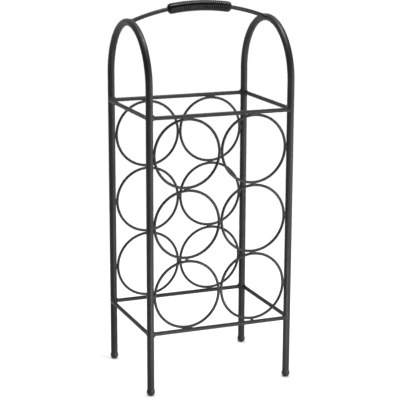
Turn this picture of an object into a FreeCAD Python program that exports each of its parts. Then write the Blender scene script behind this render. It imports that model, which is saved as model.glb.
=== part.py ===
import FreeCAD, Part
import math
import os

import Sketcher

# A counter-top wine rack.  Two bent tubes, one on each side, stand on ball feet and are
# tied together by straight rails.  Rings of thin wire hold six bottles lying front to back,
# each bottle in a front ring and a rear ring.  A bowed rod with a wound grip joins the crowns.
#
# Frame: +Z up, front of the rack at -Y, left side at -X, origin on the floor at the middle.

SIZES = [
    ("tube_radius", 5.25, "outside of the side tubes"),
    ("tube_bore_radius", 4.25, "inside of the side tubes"),
    ("half_width", 109.45, "middle to the axis of a side tube, along X"),
    ("arch_radius", 85.5, "bend of a side tube, which is also half of the leg spacing along Y"),
    ("spring_height", 454.1, "floor to the start of the bend"),
    ("foot_radius", 6.2, "ball of a foot"),
    ("foot_flat_radius", 2.5, "flat under a foot"),
    ("spigot_length", 12.0, "plug of a foot inside its tube"),
    ("rail_radius", 3.0, "straight rails"),
    ("front_rail_offset", 1.2, "front and rear rails, outward of the leg axes"),
    ("side_rail_offset", 2.3, "side rails, outward of the leg axes"),
    ("low_rail_height", 94.3, "floor to the lower rails"),
    ("high_rail_height", 413.3, "floor to the upper rails"),
    ("ring_radius", 49.95, "centreline of a bottle ring"),
    ("ring_wire_radius", 2.0, "wire of a bottle ring"),
    ("ring_half_spacing", 52.05, "middle to a ring's centre, along X"),
    ("ring_inset", 1.0, "ring planes, inward of the leg axes"),
    ("low_ring_height", 150.2, "floor to the centres of the bottom rings"),
    ("low_ring_drop", 1.4, "how much lower the front left bottom ring sits, down on its rail"),
    ("ring_pitch", 104.2, "from one row of rings to the next"),
    ("handle_radius", 292.0, "bow of the handle rod"),
    ("handle_end_height", 539.2, "floor to the ends of the handle rod"),
    ("rod_radius", 3.0, "handle rod"),
    ("grip_length", 93.0, "wound length along the rod"),
    ("grip_radius", 8.0, "outside of the winding"),
    ("grip_core_radius", 4.8, "sleeve under the winding"),
    ("grip_neck_radius", 4.3, "thin end of a grip ferrule"),
    ("grip_neck_length", 3.5, "length of a grip ferrule"),
    ("ferrule_rim_radius", 7.3, "thick end of a grip ferrule"),
    ("ring_bead_radius", 2.5, "weld bead between a ring and its neighbour"),
    ("corner_bead_radius", 2.7, "weld bead in the corner of a rail and a leg"),
    ("bead_rise", 0.5, "centre of a corner bead, outside the surface of its rail"),
    ("handle_bead_radius", 4.1, "weld bead around an end of the handle rod"),
]

LEFT, RIGHT = ("left", -1), ("right", 1)
FRONT, REAR = ("front", -1), ("rear", 1)
ROWS = ["bottom", "middle", "top"]

BALL_CENTRE = "sqrt(Sizes.foot_radius^2 - Sizes.foot_flat_radius^2)"
BALL_TOP = f"({BALL_CENTRE} + sqrt(Sizes.foot_radius^2 - Sizes.tube_radius^2))"
BOW_DEPTH = "sqrt(Sizes.handle_radius^2 - Sizes.half_width^2)"
BOW_CENTRE = f"(Sizes.handle_end_height - {BOW_DEPTH})"
GRIP_ANGLE = "Sizes.grip_length / Sizes.handle_radius * 180 / pi"

doc = FreeCAD.newDocument("WineRack")
sheet = doc.addObject("Spreadsheet::Sheet", "Sizes")
nodes = []


def fill_sheet():
    for row, (alias, value, meaning) in enumerate(SIZES, start=1):
        sheet.set(f"A{row}", meaning)
        sheet.set(f"B{row}", str(value))
        sheet.setAlias(f"B{row}", alias)
    doc.recompute()


def size(alias):
    return float(sheet.get(alias))


def bind(item, **expressions):
    """Bind properties, written with __ for a dot, to expressions over the sheet."""
    for name, expression in expressions.items():
        item.setExpression(name.replace("__", "."), str(expression))


def place(item, x="0", y="0", z="0"):
    bind(item, Placement__Base__x=x, Placement__Base__y=y, Placement__Base__z=z)


def turn(item, axis, degrees):
    item.Placement = FreeCAD.Placement(FreeCAD.Vector(), FreeCAD.Rotation(axis, degrees))


def node(item, label):
    """Give a finished sub-part its name and list it for export."""
    item.Label = label
    nodes.append(item)
    return item


def new_body(name):
    return doc.addObject("PartDesign::Body", name + "_body")


def sketch_on(body, role, name):
    plane = next(item for item in body.Origin.OriginFeatures if item.Role == role)
    sketch = body.newObject("Sketcher::SketchObject", f"{body.Name}_{name}")
    sketch.AttachmentSupport = [(plane, "")]
    sketch.MapMode = "FlatFace"
    return sketch


def add_circle(sketch, u, v, radius):
    """A circle whose centre and radius follow expressions over the sheet."""
    start = Part.Circle(FreeCAD.Vector(1, 1, 0), FreeCAD.Vector(0, 0, 1), 1)
    circle = sketch.addGeometry(start)
    across = sketch.addConstraint(Sketcher.Constraint("DistanceX", -1, 1, circle, 3, 1))
    upward = sketch.addConstraint(Sketcher.Constraint("DistanceY", -1, 1, circle, 3, 1))
    reach = sketch.addConstraint(Sketcher.Constraint("Radius", circle, 1))
    for constraint, expression in ((across, u), (upward, v), (reach, radius)):
        sketch.setExpression(f"Constraints[{constraint}]", str(expression))


def add_level_axis(sketch, v):
    """A level construction line at height v, for a revolution about it."""
    line = sketch.addGeometry(Part.LineSegment(FreeCAD.Vector(-1, 1, 0), FreeCAD.Vector(1, 1, 0)), True)
    sketch.addConstraint(Sketcher.Constraint("Horizontal", line))
    sketch.addConstraint(Sketcher.Constraint("DistanceX", -1, 1, line, 1, -1))
    sketch.addConstraint(Sketcher.Constraint("DistanceX", -1, 1, line, 2, 1))
    height = sketch.addConstraint(Sketcher.Constraint("DistanceY", -1, 1, line, 1, 1))
    sketch.setExpression(f"Constraints[{height}]", str(v))


def feature(body, kind, name, sketch, **settings):
    item = body.newObject(f"PartDesign::{kind}", f"{body.Name}_{name}")
    item.Profile = sketch
    for key, value in settings.items():
        setattr(item, key, value)
    return item


def check_cut(body, cut):
    """A pocket or groove has to take material away from its body."""
    doc.recompute()
    before = cut.BaseFeature.Shape.Volume
    if cut.Shape.Volume > before - 1e-6:
        raise RuntimeError(f"{body.Name}: {cut.Name} cuts nothing")


# ---- side arches and feet ---------------------------------------------------------------

def side_arch(side, sign):
    """One tube bent to an upside-down U; the body's origin is the centre of the bend."""
    body = new_body(f"{side}_side_arch")
    legs = sketch_on(body, "XY_Plane", "leg_sections")
    for leg_sign in (-1, 1):
        for radius in ("Sizes.tube_radius", "Sizes.tube_bore_radius"):
            add_circle(legs, "0", f"{leg_sign} * Sizes.arch_radius", radius)
    pad = feature(body, "Pad", "legs", legs, Reversed=True)
    bind(pad, Length=f"Sizes.spring_height - {BALL_TOP}")
    bend = sketch_on(body, "XY_Plane", "bend_section")
    for radius in ("Sizes.tube_radius", "Sizes.tube_bore_radius"):
        add_circle(bend, "0", "Sizes.arch_radius", radius)
    feature(body, "Revolution", "bend", bend, ReferenceAxis=(bend, ["H_Axis"]), Angle=180)
    place(body, f"{sign} * Sizes.half_width", "0", "Sizes.spring_height")
    node(body, f"{side}_side_arch")


def foot(side, sign, end, end_sign):
    """A ball with a flat under it and a plug that fills the bottom of the tube."""
    name = f"{end}_{side}_foot"
    ball = doc.addObject("Part::Sphere", name + "_ball")
    bind(ball, Radius="Sizes.foot_radius",
         Angle1="-acos(Sizes.foot_flat_radius / Sizes.foot_radius)",
         Angle2="acos(Sizes.tube_radius / Sizes.foot_radius)")
    spigot = doc.addObject("Part::Cylinder", name + "_spigot")
    bind(spigot, Radius="Sizes.tube_bore_radius", Height=f"{BALL_TOP} - {BALL_CENTRE} + Sizes.spigot_length")
    whole = doc.addObject("Part::Fuse", name)
    whole.Base = ball
    whole.Tool = spigot
    place(whole, f"{sign} * Sizes.half_width", f"{end_sign} * Sizes.arch_radius", BALL_CENTRE)
    node(whole, name)


# ---- rails ------------------------------------------------------------------------------

def rail(name, half_span, offset, quarter_turns, outward, height):
    """A straight rod between two legs, its ends hollowed to sit on the tubes.

    It runs along the body's X, and the legs' axes stand offset behind it along +Y.
    """
    body = new_body(name)
    section = sketch_on(body, "YZ_Plane", "section")
    add_circle(section, "0", "0", "Sizes.rail_radius")
    rod = feature(body, "Pad", "rod", section, Midplane=True)
    bind(rod, Length=f"2 * {half_span}")
    doc.recompute()
    seats = sketch_on(body, "XY_Plane", "seats")
    for sign in (-1, 1):
        add_circle(seats, f"{sign} * {half_span}", offset, "Sizes.tube_radius")
    cope = feature(body, "Pocket", "cope", seats, Type="ThroughAll", Midplane=True)
    check_cut(body, cope)
    turn(body, FreeCAD.Vector(0, 0, 1), 90 * quarter_turns)
    place(body, outward[0], outward[1], height)
    node(body, name)


def rails():
    long_way = "(Sizes.arch_radius + Sizes.front_rail_offset)"
    wide_way = "(Sizes.half_width + Sizes.side_rail_offset)"
    sides = [
        ("front", "Sizes.half_width", "Sizes.front_rail_offset", 0, ("0", "-" + long_way)),
        ("right", "Sizes.arch_radius", "Sizes.side_rail_offset", 1, (wide_way, "0")),
        ("rear", "Sizes.half_width", "Sizes.front_rail_offset", 2, ("0", long_way)),
        ("left", "Sizes.arch_radius", "Sizes.side_rail_offset", 3, ("-" + wide_way, "0")),
    ]
    for level, height in (("bottom", "Sizes.low_rail_height"), ("top", "Sizes.high_rail_height")):
        for side, half_span, offset, quarter_turns, outward in sides:
            rail(f"{side}_{level}_rail", half_span, offset, quarter_turns, outward, height)


# ---- bottle rings -----------------------------------------------------------------------

def ring_height(end_sign, sign, row):
    height = f"Sizes.low_ring_height + {row} * Sizes.ring_pitch"
    if (end_sign, sign, row) == (-1, -1, 0):
        height += " - Sizes.low_ring_drop"
    return f"({height})"


def ring(end, end_sign, side, sign, row):
    name = f"{end}_{side}_{ROWS[row]}_ring"
    hoop = doc.addObject("Part::Torus", name)
    bind(hoop, Radius1="Sizes.ring_radius", Radius2="Sizes.ring_wire_radius")
    turn(hoop, FreeCAD.Vector(1, 0, 0), 90)
    place(hoop, f"{sign} * Sizes.ring_half_spacing",
          f"{end_sign} * (Sizes.arch_radius - Sizes.ring_inset)", ring_height(end_sign, sign, row))
    return node(hoop, name)


# ---- handle and grip --------------------------------------------------------------------
# The rod is an arc in the XZ plane.  Pieces on it share a frame whose origin is the centre
# of the arc, so that they turn about its Y axis.

def bowed_piece(name, radii, angle):
    """A round section, solid or hollow, carried along the arc of the handle."""
    body = new_body(name)
    section = sketch_on(body, "YZ_Plane", "section")
    for radius in radii:
        add_circle(section, "0", "Sizes.handle_radius", radius)
    sweep = feature(body, "Revolution", "bow", section, ReferenceAxis=(section, ["H_Axis"]), Midplane=True)
    bind(sweep, Angle=angle)
    doc.recompute()
    place(body, "0", "0", BOW_CENTRE)
    return body


def handle_rod():
    """The bowed rod, its ends hollowed to sit against the crowns of the side arches."""
    body = bowed_piece("handle_rod", ["Sizes.rod_radius"], "2 * asin(Sizes.half_width / Sizes.handle_radius)")
    seats = sketch_on(body, "XZ_Plane", "seats")
    bend_centre = f"(Sizes.spring_height - {BOW_CENTRE})"
    for sign in (-1, 1):
        add_circle(seats, f"{sign} * Sizes.half_width", f"{bend_centre} + Sizes.arch_radius", "Sizes.tube_radius")
    add_level_axis(seats, bend_centre)
    cope = feature(body, "Groove", "cope", seats, ReferenceAxis=(seats, ["Axis0"]), Midplane=True, Angle=30)
    check_cut(body, cope)
    node(body, "handle_rod")


def grip():
    node(bowed_piece("grip_core", ["Sizes.rod_radius", "Sizes.grip_core_radius"], GRIP_ANGLE), "grip_core")
    winding = bowed_piece("grip_winding", ["Sizes.grip_core_radius", "Sizes.grip_radius"], GRIP_ANGLE)
    node(winding, "grip_winding")


def grip_ferrule(side, sign):
    """A tapered end piece, bored along the arc, that closes one end of the winding."""
    name = f"grip_{side}_ferrule"
    cone = doc.addObject("Part::Cone", name + "_cone")
    bind(cone, Radius1="Sizes.ferrule_rim_radius", Radius2="Sizes.grip_neck_radius",
         Height="Sizes.grip_neck_length")
    bore = doc.addObject("Part::Torus", name + "_bore")
    bind(bore, Radius1="Sizes.handle_radius", Radius2="Sizes.rod_radius")
    angle = sign * size("grip_length") / size("handle_radius") / 2
    radius = size("handle_radius")
    rim = FreeCAD.Vector(radius * math.sin(angle), 0, radius * math.cos(angle))
    outward = FreeCAD.Vector(sign * math.cos(angle), 0, -sign * math.sin(angle))
    cone.Placement = FreeCAD.Placement(rim, FreeCAD.Rotation(FreeCAD.Vector(0, 0, 1), outward))
    turn(bore, FreeCAD.Vector(1, 0, 0), 90)
    piece = doc.addObject("Part::Cut", name)
    piece.Base = cone
    piece.Tool = bore
    place(piece, "0", "0", BOW_CENTRE)
    node(piece, name)


# ---- welds ------------------------------------------------------------------------------
# Each bead starts as a ball, and loses what its neighbours fill.

def bead(x, y, z, radius, sideways=False):
    """A ball whose poles, up and down or sideways along X, lie inside its neighbours."""
    ball = doc.addObject("Part::Sphere", "bead")
    bind(ball, Radius=radius)
    if sideways:
        turn(ball, FreeCAD.Vector(0, 1, 0), 90)
    place(ball, x, y, z)
    return ball


def group(name, members):
    item = doc.addObject("Part::Compound", name)
    item.Links = members
    return item


def leg_envelopes():
    legs = []
    for _, sign in (LEFT, RIGHT):
        for _, end_sign in (FRONT, REAR):
            leg = doc.addObject("Part::Cylinder", "leg_envelope")
            bind(leg, Radius="Sizes.tube_radius", Height="Sizes.spring_height")
            place(leg, f"{sign} * Sizes.half_width", f"{end_sign} * Sizes.arch_radius")
            legs.append(leg)
    return legs


def weld_group(name, beads, neighbours):
    welds = doc.addObject("Part::Cut", name)
    welds.Base = group(name + "_balls", beads)
    welds.Tool = group(name + "_neighbours", neighbours)
    node(welds, name)


def ring_beads(end_sign):
    """Beads of one ring plane: ring to ring, ring to leg and ring to rail."""
    radius = "Sizes.ring_bead_radius"
    plane = f"{end_sign} * (Sizes.arch_radius - Sizes.ring_inset)"
    outer_edge = "(Sizes.ring_half_spacing + Sizes.ring_radius + Sizes.ring_wire_radius)"
    beads = []
    for row in range(len(ROWS)):
        heights = [ring_height(end_sign, sign, row) for _, sign in (LEFT, RIGHT)]
        beads.append(bead("0", plane, f"({heights[0]} + {heights[1]}) / 2", radius, sideways=True))
        for (_, sign), height in zip((LEFT, RIGHT), heights):
            beads.append(bead(f"{sign} * ({outer_edge} + Sizes.half_width - Sizes.tube_radius) / 2",
                              plane, height, radius, sideways=True))
    for _, sign in (LEFT, RIGHT):
        middle = f"{sign} * Sizes.ring_half_spacing"
        heights = [ring_height(end_sign, sign, row) for row in range(len(ROWS))]
        for lower, upper in zip(heights, heights[1:]):
            beads.append(bead(middle, plane, f"({lower} + {upper}) / 2", radius))
        beyond = f"{end_sign} * (Sizes.arch_radius + (Sizes.front_rail_offset - Sizes.ring_inset) / 2)"
        lowest = f"{heights[0]} - Sizes.ring_radius"
        highest = f"{heights[-1]} + Sizes.ring_radius"
        beads.append(bead(middle, beyond, f"({lowest} + Sizes.low_rail_height) / 2", radius))
        beads.append(bead(middle, beyond, f"({highest} + Sizes.high_rail_height) / 2", radius))
    return beads


def corner_beads():
    """One bead at each end of each rail, above the rail or, at the front left foot, below it."""
    radius = "Sizes.corner_bead_radius"
    beads = []
    for level, rail_height in (("bottom", "Sizes.low_rail_height"), ("top", "Sizes.high_rail_height")):
        for side, sign in (LEFT, RIGHT):
            for end, end_sign in (FRONT, REAR):
                below = level == "bottom" and side == "left" and end == "front"
                step = "-" if below else "+"
                height = f"{rail_height} {step} (Sizes.rail_radius + Sizes.bead_rise)"
                beads.append(bead(f"{sign} * (Sizes.half_width - Sizes.tube_radius - Sizes.bead_rise)",
                                  f"{end_sign} * (Sizes.arch_radius + Sizes.front_rail_offset)", height, radius))
                beads.append(bead(f"{sign} * (Sizes.half_width + Sizes.side_rail_offset)",
                                  f"{end_sign} * (Sizes.arch_radius - Sizes.tube_radius)", height, radius))
    return beads


def handle_beads():
    beads = []
    for _, sign in (LEFT, RIGHT):
        beads.append(bead(f"{sign} * (Sizes.half_width - Sizes.tube_radius)", "0", "Sizes.handle_end_height",
                          "Sizes.handle_bead_radius", sideways=True))
    return beads


def crown_envelopes():
    crowns = []
    for _, sign in (LEFT, RIGHT):
        crown = doc.addObject("Part::Torus", "crown_envelope")
        bind(crown, Radius1="Sizes.arch_radius", Radius2="Sizes.tube_radius")
        turn(crown, FreeCAD.Vector(0, 1, 0), 90)
        place(crown, f"{sign} * Sizes.half_width", "0", "Sizes.spring_height")
        crowns.append(crown)
    return crowns


# ---- assembly and export ----------------------------------------------------------------

def build():
    fill_sheet()
    for side, sign in (LEFT, RIGHT):
        side_arch(side, sign)
        for end, end_sign in (FRONT, REAR):
            foot(side, sign, end, end_sign)
    rails()
    handle_rod()
    grip()
    for side, sign in (LEFT, RIGHT):
        grip_ferrule(side, sign)
    legs = leg_envelopes()
    straight = {item.Label: item for item in nodes if item.Label.endswith("_rail")}
    for end, end_sign in (FRONT, REAR):
        rings = [ring(end, end_sign, side, sign, row)
                 for side, sign in (LEFT, RIGHT) for row in range(len(ROWS))]
        ties = [straight[f"{end}_bottom_rail"], straight[f"{end}_top_rail"]]
        weld_group(f"{end}_ring_welds", ring_beads(end_sign), rings + ties + legs)
    weld_group("corner_welds", corner_beads(), list(straight.values()) + legs)
    rod = next(item for item in nodes if item.Label == "handle_rod")
    weld_group("handle_welds", handle_beads(), [rod] + crown_envelopes())
    doc.recompute()


def check():
    for item in doc.Objects:
        if {"Invalid", "Error"} & set(item.State):
            raise RuntimeError(f"{item.Name} failed: {item.State}")
    for item in nodes:
        if item.Shape.isNull() or not item.Shape.isValid():
            raise RuntimeError(f"{item.Label} has no valid shape")


def export():
    os.makedirs("parts", exist_ok=True)
    for item in nodes:
        item.Shape.exportStep(f"parts/{item.Label}.step")
        print(f"{item.Label}: {len(item.Shape.Solids)} solids, {item.Shape.Volume:.0f} mm3")


build()
check()
export()
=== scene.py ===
import math

import bmesh
import bpy
import numpy as np
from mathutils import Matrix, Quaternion, Vector, noise


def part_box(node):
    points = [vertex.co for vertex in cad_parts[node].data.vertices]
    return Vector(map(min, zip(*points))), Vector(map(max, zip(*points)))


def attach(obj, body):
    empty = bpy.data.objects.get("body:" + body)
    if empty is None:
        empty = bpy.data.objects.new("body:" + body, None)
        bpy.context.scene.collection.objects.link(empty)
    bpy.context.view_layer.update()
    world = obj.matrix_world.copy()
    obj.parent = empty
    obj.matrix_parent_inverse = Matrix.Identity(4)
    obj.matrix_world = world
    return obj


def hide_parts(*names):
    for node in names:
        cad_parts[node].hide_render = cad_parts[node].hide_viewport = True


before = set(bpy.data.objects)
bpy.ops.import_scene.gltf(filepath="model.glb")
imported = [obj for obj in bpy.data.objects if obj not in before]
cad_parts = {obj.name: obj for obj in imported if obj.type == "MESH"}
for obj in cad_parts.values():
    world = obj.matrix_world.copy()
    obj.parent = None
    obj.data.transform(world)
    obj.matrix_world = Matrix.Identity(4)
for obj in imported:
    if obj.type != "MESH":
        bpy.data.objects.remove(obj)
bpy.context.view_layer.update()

MM = 0.001
ENDS = [("front", -1), ("rear", 1)]
SIDES = [("left", -1), ("right", 1)]
ROWS = ["bottom", "middle", "top"]

# ---- the frame's own sizes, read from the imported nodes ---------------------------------

ARCH_LOW, ARCH_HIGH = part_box("right_side_arch")
TUBE = (ARCH_HIGH.x - ARCH_LOW.x) / 2
HALF_WIDTH = (ARCH_HIGH.x + ARCH_LOW.x) / 2
BEND = ARCH_HIGH.y - TUBE
SPRING = ARCH_HIGH.z - TUBE - BEND

FOOT_LOW, FOOT_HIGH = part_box("front_right_foot")
BALL = (FOOT_HIGH.x - FOOT_LOW.x) / 2
BALL_FLAT = 2.5 * MM                # radius of the flat under a ball
BALL_HEIGHT = math.sqrt(BALL ** 2 - BALL_FLAT ** 2)

ROD_LOW, ROD_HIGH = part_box("handle_rod")
ROD = (ROD_HIGH.y - ROD_LOW.y) / 2
BOW = 292 * MM                      # bend of the handle rod, to its axis
BOW_CENTRE = ROD_HIGH.z - ROD - BOW

WINDING_LOW, WINDING_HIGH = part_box("grip_winding")
GRIP = (WINDING_HIGH.y - WINDING_LOW.y) / 2
GRIP_ANGLE = math.asin(WINDING_HIGH.x / (BOW + GRIP))


def middle(node):
    low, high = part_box(node)
    return (low + high) / 2


# ---- small helpers ---------------------------------------------------------------------

def finish_piece(name, mesh, material, slot, *nodes):
    """Puts a finished mesh in the scene, riding on the rack, in place of the named nodes."""
    for face in mesh.polygons:
        face.use_smooth = True
    mesh.materials.append(material)
    piece = bpy.data.objects.new(name, mesh)
    bpy.context.scene.collection.objects.link(piece)
    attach(piece, "root")
    if nodes:
        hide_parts(*nodes)
    return piece


def grid_mesh(name, rings):
    """A tube-like mesh through rings of points, each ring closed on itself and both ends capped."""
    count, around = len(rings), len(rings[0])
    faces = []
    for i in range(count - 1):
        for j in range(around):
            k = (j + 1) % around
            faces.append((i * around + j, (i + 1) * around + j, (i + 1) * around + k, i * around + k))
    faces.append(tuple(range(around)))
    faces.append(tuple(reversed(range((count - 1) * around, count * around))))
    mesh = bpy.data.meshes.new(name)
    mesh.from_pydata([tuple(point) for ring in rings for point in ring], [], faces)
    mesh.validate()
    return mesh


def bow_point(angle, radius, around):
    """A point near the handle's bow: angle along it, radius out from the rod's axis, around the rod."""
    reach = BOW + radius * math.cos(around)
    return (reach * math.sin(angle), radius * math.sin(around), BOW_CENTRE + reach * math.cos(angle))


# ---- materials -------------------------------------------------------------------------

class Nodes:
    """Short names for building one material's node tree."""

    def __init__(self, name):
        self.material = bpy.data.materials.new(name)
        self.material.use_nodes = True
        self.tree = self.material.node_tree
        self.shader = self.tree.nodes["Principled BSDF"]
        self.place = self.add("ShaderNodeTexCoord").outputs["Object"]

    def add(self, kind, **settings):
        node = self.tree.nodes.new(kind)
        for key, value in settings.items():
            setattr(node, key, value)
        return node

    def link(self, source, target):
        self.tree.links.new(source, target)

    def noise(self, scale, detail=2.0, roughness=0.5):
        node = self.add("ShaderNodeTexNoise")
        node.inputs["Scale"].default_value = scale
        node.inputs["Detail"].default_value = detail
        node.inputs["Roughness"].default_value = roughness
        self.link(self.place, node.inputs["Vector"])
        return node.outputs["Fac"]

    def remap(self, source, low, high, to_low, to_high):
        node = self.add("ShaderNodeMapRange")
        self.link(source, node.inputs["Value"])
        for key, value in (("From Min", low), ("From Max", high), ("To Min", to_low), ("To Max", to_high)):
            node.inputs[key].default_value = value
        return node.outputs["Result"]

    def math(self, operation, first, second):
        node = self.add("ShaderNodeMath", operation=operation)
        for socket, value in zip(node.inputs, (first, second)):
            if isinstance(value, (int, float)):
                socket.default_value = value
            else:
                self.link(value, socket)
        return node.outputs["Value"]

    def mix(self, factor, first, second):
        node = self.add("ShaderNodeMix", data_type="RGBA")
        self.link(factor, node.inputs["Factor"])
        for socket, value in ((node.inputs[6], first), (node.inputs[7], second)):
            if isinstance(value, tuple):
                socket.default_value = (*value, 1)
            else:
                self.link(value, socket)
        return node.outputs[2]

    def bump(self, *layers):
        """Stacks bump layers, each a height, its strength and its depth in metres."""
        normal = None
        for height, strength, depth in layers:
            node = self.add("ShaderNodeBump")
            node.inputs["Strength"].default_value = strength
            node.inputs["Distance"].default_value = depth
            self.link(height, node.inputs["Height"])
            if normal:
                self.link(normal, node.inputs["Normal"])
            normal = node.outputs["Normal"]
        self.link(normal, self.shader.inputs["Normal"])


def powder_coat(name, dark, light, warm, roughness, wear=0.0):
    """Satin charcoal powder coat: slow tone drift, orange peel, fine grain, and scuffs low on the feet."""
    n = Nodes(name)
    drift = n.remap(n.noise(22, 3), 0.35, 0.68, 0, 1)
    warmth = n.remap(n.noise(9, 2), 0.48, 0.72, 0, 1)
    grain = n.noise(2600, 2, 0.6)
    colour = n.mix(drift, dark, light)
    colour = n.mix(warmth, colour, warm)
    speck = n.remap(n.noise(900, 1), 0.66, 0.74, 0, 0.5)
    colour = n.mix(speck, colour, tuple(1.5 * c for c in light))
    if wear:
        height = n.add("ShaderNodeSeparateXYZ")
        n.link(n.place, height.inputs["Vector"])
        low = n.remap(height.outputs["Z"], 0.0, 2.2 * MM, wear, 0)
        scuff = n.math("MULTIPLY", low, n.remap(n.noise(700, 3), 0.4, 0.6, 0.2, 1))
        colour = n.mix(scuff, colour, (0.16, 0.155, 0.145))
    n.link(colour, n.shader.inputs["Base Color"])
    patchy = n.remap(n.noise(160, 3), 0.3, 0.7, roughness - 0.06, roughness + 0.06)
    n.link(n.math("ADD", patchy, n.remap(grain, 0.3, 0.7, -0.04, 0.05)), n.shader.inputs["Roughness"])
    n.shader.inputs["Specular IOR Level"].default_value = 0.2
    n.bump((n.noise(620, 2), 0.35, 0.12 * MM), (grain, 0.25, 0.05 * MM))
    return n.material


def lacquer(name, dark, light, roughness):
    """Gloss black lacquer: it pools unevenly, so its gloss and tone drift a little."""
    n = Nodes(name)
    n.link(n.mix(n.remap(n.noise(60, 3), 0.35, 0.65, 0, 1), dark, light), n.shader.inputs["Base Color"])
    gloss = n.remap(n.noise(240, 3), 0.3, 0.7, roughness - 0.05, roughness + 0.09)
    n.link(gloss, n.shader.inputs["Roughness"])
    n.shader.inputs["Specular IOR Level"].default_value = 0.13
    n.shader.inputs["Coat Weight"].default_value = 0.02
    n.shader.inputs["Coat Roughness"].default_value = 0.1
    n.bump((n.noise(420, 2), 0.3, 0.1 * MM), (n.noise(1900, 2), 0.12, 0.04 * MM))
    return n.material


CHARCOAL = powder_coat("charcoal_powder_coat", (0.009, 0.009, 0.009), (0.013, 0.013, 0.0127),
                       (0.0155, 0.015, 0.012), 0.45)
FOOT_COAT = powder_coat("foot_powder_coat", (0.011, 0.011, 0.011), (0.017, 0.017, 0.0166),
                        (0.019, 0.0185, 0.015), 0.46, wear=0.8)
WELD_COAT = powder_coat("weld_powder_coat", (0.010, 0.010, 0.010), (0.015, 0.015, 0.0147),
                        (0.018, 0.0175, 0.0145), 0.4)
GRIP_LACQUER = lacquer("grip_black_lacquer", (0.003, 0.003, 0.0029), (0.005, 0.005, 0.0047), 0.15)


def dress_nodes():
    """Gives every CAD node its coat, and smooths the shading of its round faces."""
    for name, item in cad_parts.items():
        coat = CHARCOAL
        if name.endswith("_foot"):
            coat = FOOT_COAT
        elif name.endswith("_welds"):
            coat = WELD_COAT
        elif name.startswith("grip_"):
            coat = GRIP_LACQUER
        item.data.materials.clear()
        item.data.materials.append(coat)
        for face in item.data.polygons:
            face.use_smooth = True
        item.data.set_sharp_from_angle(angle=math.radians(35))


# ---- welds -----------------------------------------------------------------------------
# A bead is the smooth union of the members that meet, followed outward from the joint until it
# sinks just under their surfaces.  Distances are in metres, over arrays of points.

def rod_shape(point, along, radius):
    """An endless straight rod."""
    start, axis = np.array(point), np.array(along, float)

    def distance(p):
        out = p - start
        return np.linalg.norm(out - np.outer(out @ axis, axis), axis=1) - radius
    return distance


def hoop_shape(centre, normal, bend, radius):
    """A rod bent to a circle about centre."""
    hub, axis = np.array(centre), np.array(normal, float)

    def distance(p):
        out = p - hub
        lift = out @ axis
        spread = np.linalg.norm(out - np.outer(lift, axis), axis=1)
        return np.hypot(spread - bend, lift) - radius
    return distance


def blob_shape(centre, radius, stretch=(1, 1, 1)):
    """A ball about centre, stretched along the axes."""
    hub, scale = np.array(centre), np.array(stretch, float)

    def distance(p):
        return (np.linalg.norm((p - hub) / scale, axis=1) - radius) * scale.min()
    return distance


def blend_shapes(shapes, soft):
    """The union of the shapes, with fillets up to soft wide where they meet."""
    def distance(p):
        total = shapes[0](p)
        for shape in shapes[1:]:
            other = shape(p)
            near = np.clip(1 - np.abs(total - other) / soft, 0, 1)
            total = np.minimum(total, other) - near ** 2 * soft / 4
        return total
    return distance


def unit_sphere(detail):
    ball = bmesh.new()
    bmesh.ops.create_icosphere(ball, subdivisions=detail, radius=1)
    points = np.array([vertex.co[:] for vertex in ball.verts])
    faces = [[vertex.index for vertex in face.verts] for face in ball.faces]
    ball.free()
    return points, faces


SPHERES = {detail: unit_sphere(detail) for detail in (4, 5)}
MARCH_STEPS = 60
FINAL_SINK = 0.35 * MM              # how far under the members a bead has sunk at its edge
SMALLEST_BEAD = 0.2 * MM


def bead(centre, shapes, reach, soft, proud=0.1 * MM, ripple=0.1 * MM, detail=4):
    """Points and faces of one weld bead around centre, no further out than reach."""
    rays, faces = SPHERES[detail]
    hub = np.array(centre)
    surface = blend_shapes(shapes, soft)
    steps = np.linspace(0, reach, MARCH_STEPS)
    rise = np.clip(steps / reach, 0, 1) ** 2
    sink = -proud + (proud + FINAL_SINK) * rise
    depth = np.array([surface(hub + rays * step) + under for step, under in zip(steps, sink)])
    outside = depth > 0
    first = np.where(outside.any(axis=0), outside.argmax(axis=0), len(steps) - 1)
    before = np.maximum(first - 1, 0)
    column = np.arange(len(rays))
    a, b = depth[before, column], depth[first, column]
    share = np.where(outside.any(axis=0), np.clip(-a / np.maximum(b - a, 1e-9), 0, 1), 1)
    length = steps[before] + share * (steps[first] - steps[before])
    points = []
    for ray, far in zip(rays, length):
        spot = hub + ray * far
        lumps = noise.noise(Vector(spot * 620)) + 0.5 * noise.noise(Vector(spot * 1500))
        points.append(hub + ray * max(far + lumps * ripple * (1 - (far / reach) ** 2), SMALLEST_BEAD))
    return points, faces


def join_beads(name, beads, material, slot, *nodes):
    points, faces = [], []
    for bead_points, bead_faces in beads:
        shift = len(points)
        points.extend(tuple(point) for point in bead_points)
        faces.extend([index + shift for index in face] for face in bead_faces)
    mesh = bpy.data.meshes.new(name)
    mesh.from_pydata(points, [], faces)
    return finish_piece(name, mesh, material, slot, *nodes)


def leg_shape(sign, end_sign):
    return rod_shape((sign * HALF_WIDTH, end_sign * BEND, 0), (0, 0, 1), TUBE)


def ring_shape(node):
    low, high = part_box(node)
    wire = (high.y - low.y) / 2
    return hoop_shape(middle(node), (0, 1, 0), (high.x - low.x) / 2 - wire, wire)


def rail_shape(node):
    low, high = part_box(node)
    runs_wide = high.x - low.x > high.y - low.y
    along = (1, 0, 0) if runs_wide else (0, 1, 0)
    return rod_shape(middle(node), along, (high.z - low.z) / 2)


CLOSE_FIT = 0.4 * MM                # a ring nearer to its rail than this gets a long bead


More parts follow.
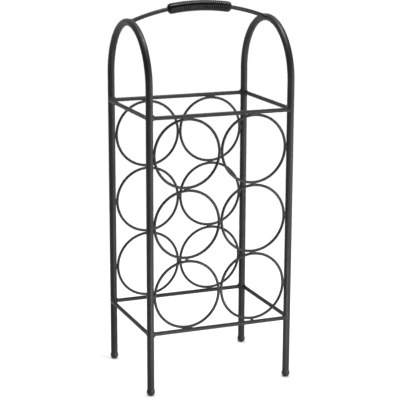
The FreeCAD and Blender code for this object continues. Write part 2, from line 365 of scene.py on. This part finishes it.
def ring_welds(end, end_sign):
    """Every joint of one plane of rings."""
    rings = {(side, row): f"{end}_{side}_{row}_ring" for side, _ in SIDES for row in ROWS}
    outer = (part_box(rings["left", "top"])[1].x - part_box(rings["left", "top"])[0].x) / 2
    wire = (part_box(rings["left", "top"])[1].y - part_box(rings["left", "top"])[0].y) / 2
    beads = []
    for row in ROWS:
        pair = [rings["left", row], rings["right", row]]
        beads.append(bead((middle(pair[0]) + middle(pair[1])) / 2, [ring_shape(ring) for ring in pair],
                          4.6 * MM, 2.2 * MM))
        for side, sign in SIDES:
            hub = middle(rings[side, row])
            edge = sign * (abs(hub.x) + outer + HALF_WIDTH - TUBE) / 2
            beads.append(bead((edge, hub.y, hub.z), [ring_shape(rings[side, row]), leg_shape(sign, end_sign)],
                              4.4 * MM, 2.2 * MM))
    for side, _ in SIDES:
        for lower, upper in zip(ROWS, ROWS[1:]):
            spot = (middle(rings[side, lower]) + middle(rings[side, upper])) / 2
            beads.append(bead(spot, [ring_shape(rings[side, lower]), ring_shape(rings[side, upper]),
                                     blob_shape(spot, 0.9 * MM, (1.3, 1, 1))], 4.8 * MM, 2.4 * MM))
        for level, row, way in (("bottom", "bottom", -1), ("top", "top", 1)):
            hub, rail = middle(rings[side, row]), middle(f"{end}_{level}_rail")
            wire_spot = Vector((hub.x, hub.y, hub.z + way * (outer - wire)))
            rail_spot = Vector((hub.x, rail.y, rail.z))
            rail_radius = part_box(f"{end}_{level}_rail")[1].z - rail.z
            toward = (rail_spot - wire_spot).normalized()
            gap = (rail_spot - wire_spot).length - wire - rail_radius
            spot = wire_spot + toward * (wire + gap / 2)
            stretch, reach, soft = (2.2, 8.5, 2.8) if gap < CLOSE_FIT else (1.1, 5.0, 1.8)
            stub = blob_shape(tuple(spot), 1.3 * MM, (stretch, 1, 1))
            shapes = [ring_shape(rings[side, row]), rail_shape(f"{end}_{level}_rail"), stub]
            beads.append(bead(spot, shapes, reach * MM, soft * MM, detail=5))
    return join_beads(f"{end}_ring_weld_beads", beads, WELD_COAT, "frame", f"{end}_ring_welds")


def corner_welds():
    """The ends of the rails, where each butts against a leg, and the lump of filler in its corner."""
    beads = []
    for level in ("bottom", "top"):
        for side, sign in SIDES:
            for end, end_sign in ENDS:
                below = (level, side, end) == ("bottom", "left", "front")
                way = -1 if below else 1
                leg = leg_shape(sign, end_sign)
                across, along = f"{end}_{level}_rail", f"{side}_{level}_rail"
                rail_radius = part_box(across)[1].z - middle(across).z
                spots = (
                    (across, Vector((sign * (HALF_WIDTH - TUBE), middle(across).y, middle(across).z))),
                    (along, Vector((middle(along).x, end_sign * (BEND - TUBE), middle(along).z))),
                )
                for node, spot in spots:
                    filler = spot + Vector((0, 0, way * (rail_radius + 0.3 * MM)))
                    shapes = [leg, rail_shape(node), blob_shape(tuple(filler), 1.25 * MM)]
                    beads.append(bead(spot, shapes, 6.6 * MM, 2.4 * MM, detail=5))
    return join_beads("corner_weld_beads", beads, WELD_COAT, "frame", "corner_welds")


def handle_welds():
    """The rod's ends against the inner sides of the crowns."""
    bow = hoop_shape((0, 0, BOW_CENTRE), (0, 1, 0), BOW, ROD)
    beads = []
    for _, sign in SIDES:
        crown = hoop_shape((sign * HALF_WIDTH, 0, SPRING), (1, 0, 0), BEND, TUBE)
        reach = HALF_WIDTH - TUBE
        spot = (sign * reach, 0, BOW_CENTRE + math.sqrt(BOW ** 2 - reach ** 2))
        beads.append(bead(spot, [crown, bow], 7.2 * MM, 2.8 * MM, detail=5))
    return join_beads("handle_weld_beads", beads, WELD_COAT, "frame", "handle_welds")


def foot_collars():
    """The fillet of weld and coat between each ball and its tube."""
    beads = []
    neck = math.sqrt(BALL ** 2 - TUBE ** 2)
    for _, sign in SIDES:
        for _, end_sign in ENDS:
            hub = Vector((sign * HALF_WIDTH, end_sign * BEND, BALL_HEIGHT))
            top = hub + Vector((0, 0, neck))
            shapes = [blob_shape(tuple(hub), BALL), leg_shape(sign, end_sign)]
            beads.append(bead(top, shapes, 7.6 * MM, 1.6 * MM, proud=0.06 * MM, detail=5))
    return join_beads("foot_collars", beads, FOOT_COAT, "foot_ball")


# ---- grip ------------------------------------------------------------------------------

WOUND_WIRE = 1.65 * MM              # radius of the wound wire
GROOVE = 0.9 * MM                   # depth between two turns, before the lacquer
LACQUER_DIP = 0.5 * MM              # how far under the crests the lacquer stands in the grooves
LACQUER_DRIFT = 0.45 * MM
CREST_WEAR = 0.05 * MM
LACQUER_FILLET = 0.15 * MM
END_ROUND = 0.7 * MM                # drop of the first and last turn


def winding():
    """The wound wire: touching turns, their grooves part filled with lacquer."""
    length = 2 * GRIP_ANGLE * BOW
    turns = round(length / (2 * WOUND_WIRE))
    along, around = turns * 14, 96
    rings = []
    for i in range(along + 1):
        place = i / along
        angle = GRIP_ANGLE * (2 * place - 1)
        ring = []
        for j in range(around):
            spin = 2 * math.pi * j / around
            phase = (place * turns - j / around) % 1 - 0.5
            crest = GRIP - GROOVE * (2 * phase) ** 2
            spot = Vector(bow_point(angle, GRIP, spin))
            fill = GRIP - LACQUER_DIP - LACQUER_DRIFT * noise.noise(spot * 45)
            near = max(1 - abs(crest - fill) / LACQUER_FILLET, 0)
            radius = max(crest, fill) + near ** 2 * LACQUER_FILLET / 4
            radius += CREST_WEAR * noise.noise(spot * 130)
            shoulder = min(place, 1 - place) * length / WOUND_WIRE
            if shoulder < 1:
                radius -= END_ROUND * (1 - math.sqrt(max(1 - (1 - shoulder) ** 2, 0)))
            ring.append(bow_point(angle, radius, spin))
        rings.append(ring)
    mesh = grid_mesh("grip_wound_wire", rings)
    return finish_piece("grip_wound_wire", mesh, GRIP_LACQUER, "grip_wire", "grip_winding")


# Turned profile of an end cap: millimetres past the winding's end, and the share of the rim's radius.
CAP_PROFILE = [(-0.6, 0.90), (-0.2, 0.985), (0.15, 1.0), (0.6, 0.995), (1.1, 0.96), (1.6, 0.90), (2.1, 0.82),
               (2.6, 0.73), (3.0, 0.65), (3.4, 0.57), (3.7, 0.50), (3.9, 0.44)]


def ferrule(side, sign):
    """A turned end cap: a rounded lip against the winding, then a taper down to the rod."""
    low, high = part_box(f"grip_{side}_ferrule")
    rim = (high.y - low.y) / 2
    rings = []
    for depth, share in CAP_PROFILE:
        angle = sign * (GRIP_ANGLE + depth * MM / BOW)
        turn = [2 * math.pi * sign * j / 64 for j in range(64)]
        rings.append([bow_point(angle, max(rim * share, ROD * 1.01), spin) for spin in turn])
    name = f"grip_{side}_end_cap"
    return finish_piece(name, grid_mesh(name, rings), GRIP_LACQUER, "grip_trim", f"grip_{side}_ferrule")


# ---- floor, light and camera -----------------------------------------------------------

def floor():
    """A pale floor that runs out of sight on every side."""
    sheet = bpy.data.meshes.new("floor")
    half = 40.0
    corners = [(-half, -half, 0), (half, -half, 0), (half, half, 0), (-half, half, 0)]
    sheet.from_pydata(corners, [], [(0, 1, 2, 3)])
    n = Nodes("pale_floor")
    n.link(n.mix(n.noise(3, 2), (0.86, 0.86, 0.855), (0.88, 0.88, 0.875)), n.shader.inputs["Base Color"])
    n.shader.inputs["Roughness"].default_value = 0.9
    n.shader.inputs["Specular IOR Level"].default_value = 0.1
    sheet.materials.append(n.material)
    item = bpy.data.objects.new("floor", sheet)
    bpy.context.scene.collection.objects.link(item)


def softbox(name, place, target, width, height, power, spread=180):
    """A rectangular light at place, facing target; power in watts, spread in degrees."""
    light = bpy.data.lights.new(name, "AREA")
    light.shape = "RECTANGLE"
    light.size, light.size_y = width, height
    light.energy = power
    light.spread = math.radians(spread)
    item = bpy.data.objects.new(name, light)
    item.location = place
    item.rotation_euler = (Vector(target) - Vector(place)).to_track_quat("-Z", "Y").to_euler()
    bpy.context.scene.collection.objects.link(item)


def lights():
    """Even light from above, two softboxes on the right that draw the lit stripes, and small ones for
    the grip."""
    softbox("side_softbox", (1.35, -0.68, 0.36), (0, 0, 0.3), 0.8, 0.7, 1.6, spread=60)
    softbox("near_softbox", (1.0, -1.75, 0.5), (0, 0, 0.3), 0.6, 0.8, 1.3, spread=45)
    softbox("grip_side", (0.35, -0.55, 0.2), (0.03, 0, 0.56), 0.12, 0.1, 1.1)
    softbox("grip_top", (0.08, -0.05, 0.85), (0.02, 0, 0.56), 0.12, 0.1, 1.8)
    softbox("grip_low", (0.0, -0.4, 0.02), (0, 0, 0.56), 0.2, 0.08, 1.6)
    overhead = bpy.data.lights.new("overhead", "SUN")
    overhead.energy = 3.1
    overhead.angle = math.radians(60)
    item = bpy.data.objects.new("overhead", overhead)
    bpy.context.scene.collection.objects.link(item)


def studio():
    """White to the camera; to the gloss on the rack, dim in front and a pale backdrop behind."""
    world = bpy.data.worlds.new("studio")
    world.use_nodes = True
    bpy.context.scene.world = world
    tree = world.node_tree
    shade = tree.nodes["Background"]
    shade.inputs["Color"].default_value = (1, 1, 1, 1)
    path = tree.nodes.new("ShaderNodeLightPath")
    axes = tree.nodes.new("ShaderNodeSeparateXYZ")
    tree.links.new(tree.nodes.new("ShaderNodeTexCoord").outputs["Generated"], axes.inputs["Vector"])
    behind = tree.nodes.new("ShaderNodeMapRange")
    level = tree.nodes.new("ShaderNodeMix")
    for socket, value in (("From Min", 0.2), ("From Max", 0.85), ("To Min", 0.05), ("To Max", 0.8)):
        behind.inputs[socket].default_value = value
    tree.links.new(axes.outputs["Y"], behind.inputs["Value"])
    tree.links.new(path.outputs["Is Camera Ray"], level.inputs["Factor"])
    tree.links.new(behind.outputs["Result"], level.inputs["A"])
    level.inputs["B"].default_value = 1.0
    tree.links.new(level.outputs["Result"], shade.inputs["Strength"])


CAMERA_TARGET = Vector((1.7 * MM, 0, 267.17 * MM))
CAMERA_DISTANCE = 2.0686
CAMERA_LENS = 122.94


def camera():
    """The standing viewpoint: front left, a little above the middle of the rack."""
    azimuth, elevation, roll = math.radians(-21.762), math.radians(13.497), math.radians(0.192)
    back = Vector((math.sin(azimuth) * math.cos(elevation), -math.cos(azimuth) * math.cos(elevation),
                   math.sin(elevation)))
    lens = bpy.data.cameras.new("camera")
    lens.sensor_width = 36
    lens.lens = CAMERA_LENS
    lens.dof.use_dof = False
    eye = bpy.data.objects.new("camera", lens)
    eye.location = CAMERA_TARGET + back * CAMERA_DISTANCE
    eye.rotation_mode = "QUATERNION"
    eye.rotation_quaternion = (-back).to_track_quat("-Z", "Y") @ Quaternion((0, 0, 1), roll)
    bpy.context.scene.collection.objects.link(eye)
    bpy.context.scene.camera = eye


dress_nodes()
for end, end_sign in ENDS:
    ring_welds(end, end_sign)
corner_welds()
handle_welds()
foot_collars()
winding()
for side, sign in SIDES:
    ferrule(side, sign)
floor()
lights()
studio()
camera()
bpy.context.scene.view_settings.view_transform = "Standard"
